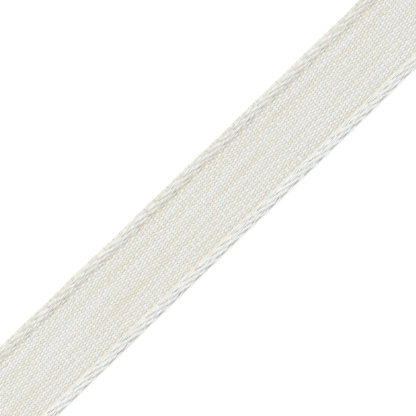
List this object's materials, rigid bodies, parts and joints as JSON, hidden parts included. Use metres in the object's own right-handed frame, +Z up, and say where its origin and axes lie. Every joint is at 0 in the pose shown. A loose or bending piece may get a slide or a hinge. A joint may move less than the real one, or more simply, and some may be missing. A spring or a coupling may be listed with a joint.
{
  "type": "woven border tape",
  "caption": "Flat cut length of ivory woven border tape with a plain-weave ground and a raised cord-like selvedge along each side.",
  "frame": {"origin": "middle of the tape, on the flat underside it rests on", "axes": "+X along the tape, +Y across it towards the selvedge with the wrapped edge, +Z up out of the face"},
  "size_m": [0.3, 0.0385, 0.0026],
  "materials": {
    "woven_cloth": "matt ivory cotton and linen yarn, warp-faced plain weave with twill selvedges"
  },
  "bodies": {
    "root": {"woven_trim": "woven_cloth"}
  },
  "joints": []
}
